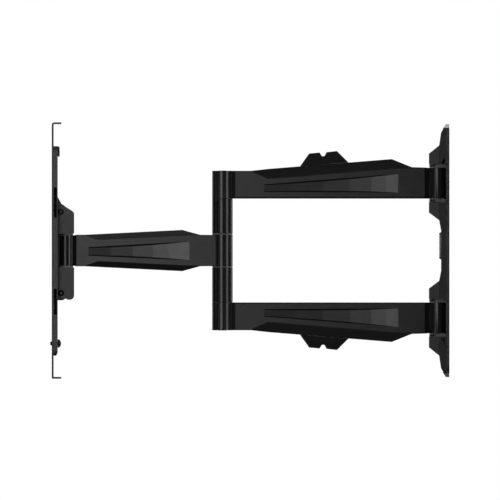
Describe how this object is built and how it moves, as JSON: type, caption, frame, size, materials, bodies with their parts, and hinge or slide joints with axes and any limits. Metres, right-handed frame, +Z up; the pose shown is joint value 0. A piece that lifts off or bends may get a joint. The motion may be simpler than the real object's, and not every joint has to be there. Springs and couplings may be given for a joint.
{
  "type": "full motion television wall mount",
  "caption": "Full-motion wall mount: a pair of hinged wall arms, an elbow column, a single forearm and a swivelling, tilting carrier with sliding hook-on screen rails.",
  "frame": {"origin": "middle of the wall plate's back face, where it meets the wall", "axes": "+Y into the wall, -Y out towards the television, +Z up, +X along the wall to the right of someone facing it"},
  "size_m": [0.446, 0.6787, 0.436],
  "materials": {
    "black_paint": "fine satin black powder coat",
    "black_casting": "satin black coat on smooth aluminium castings",
    "black_plastic": "fine matte black",
    "dark_steel": "blackened steel fasteners",
    "plain_steel": "zinc-plated steel",
    "pale_trim": "satin, slightly blue",
    "pale_lens": "smooth clear-grey",
    "pale_nylon": "natural nylon"
  },
  "bodies": {
    "wall_base": {"level_vial": "pale_lens", "lower_end_trim": "pale_trim", "lower_hinge_lug_inner": "black_paint", "lower_hinge_lug_outer": "black_paint", "lower_hinge_pin": "plain_steel", "lower_hinge_pin_clip": "plain_steel", "lower_hinge_washer_inner": "pale_nylon", "lower_hinge_washer_outer": "pale_nylon", "lower_lug_bolt_inner": "plain_steel", "lower_lug_bolt_outer": "plain_steel", "lower_wall_cover": "black_plastic", "middle_wall_cover": "black_plastic", "upper_end_trim": "pale_trim", "upper_hinge_lug_inner": "black_paint", "upper_hinge_lug_outer": "black_paint", "upper_hinge_pin": "plain_steel", "upper_hinge_pin_clip": "plain_steel", "upper_hinge_washer_inner": "pale_nylon", "upper_hinge_washer_outer": "pale_nylon", "upper_lug_bolt_inner": "plain_steel", "upper_lug_bolt_outer": "plain_steel", "upper_wall_cover": "black_plastic", "wall_plate": "black_paint"},
    "wall_arms": {"elbow_shaft": "plain_steel", "lower_arm": "black_casting", "lower_cable_clip": "black_plastic", "lower_elbow_cap": "black_plastic", "lower_spacer_sleeve": "black_casting", "lower_wall_bush": "pale_nylon", "upper_arm": "black_casting", "upper_cable_clip": "black_plastic", "upper_elbow_cap": "black_plastic", "upper_spacer_sleeve": "black_casting", "upper_wall_bush": "pale_nylon"},
    "forearm_link": {"elbow_bush": "pale_nylon", "forearm": "black_casting", "head_bush": "pale_nylon", "lower_elbow_washer": "pale_nylon", "upper_elbow_washer": "pale_nylon"},
    "swivel_head": {"lower_swivel_washer": "pale_nylon", "swivel_bracket": "black_paint", "swivel_nut": "dark_steel", "swivel_pin": "dark_steel", "tilt_lock_bolt": "dark_steel", "tilt_lock_nut": "dark_steel", "tilt_pivot_bolt": "dark_steel", "tilt_pivot_nut": "dark_steel", "upper_swivel_washer": "pale_nylon"},
    "tilt_carrier": {"carrier_pan": "black_paint"},
    "left_rail": {"tv_rail_left": "black_paint", "lock_nut_left": "plain_steel"},
    "right_rail": {"tv_rail_right": "black_paint", "lock_nut_right": "plain_steel"},
    "left_knob": {"lock_knob_left": "black_plastic"},
    "right_knob": {"lock_knob_right": "black_plastic"}
  },
  "joints": [
    {"name": "wall_swivel", "type": "hinge", "parent": "wall_base", "child": "wall_arms", "pos_m": [0, -0.02, 0], "axis": [0, 0, 1], "range_deg": [-90, 90]},
    {"name": "elbow_fold", "type": "hinge", "parent": "wall_arms", "child": "forearm_link", "pos_m": [0, -0.386, 0], "axis": [0, 0, -1], "range_deg": [-135, 135]},
    {"name": "head_swivel", "type": "hinge", "parent": "forearm_link", "child": "swivel_head", "pos_m": [0, -0.652, 0], "axis": [0, 0, 1], "range_deg": [-90, 90]},
    {"name": "screen_tilt", "type": "hinge", "parent": "swivel_head", "child": "tilt_carrier", "pos_m": [0, -0.6604, -0.0724], "axis": [1, 0, 0], "range_deg": [0, 15]},
    {"name": "left_rail_slide", "type": "slide", "parent": "tilt_carrier", "child": "left_rail", "axis": [1, 0, 0], "range_m": [0, 0.1]},
    {"name": "right_rail_slide", "type": "slide", "parent": "tilt_carrier", "child": "right_rail", "axis": [-1, 0, 0], "range_m": [0, 0.1]},
    {"name": "left_knob_turn", "type": "hinge", "parent": "left_rail", "child": "left_knob", "pos_m": [-0.186, -0.666, -0.158], "axis": [0, -1, 0], "continuous": true},
    {"name": "right_knob_turn", "type": "hinge", "parent": "right_rail", "child": "right_knob", "pos_m": [0.186, -0.666, -0.158], "axis": [0, -1, 0], "continuous": true}
  ]
}
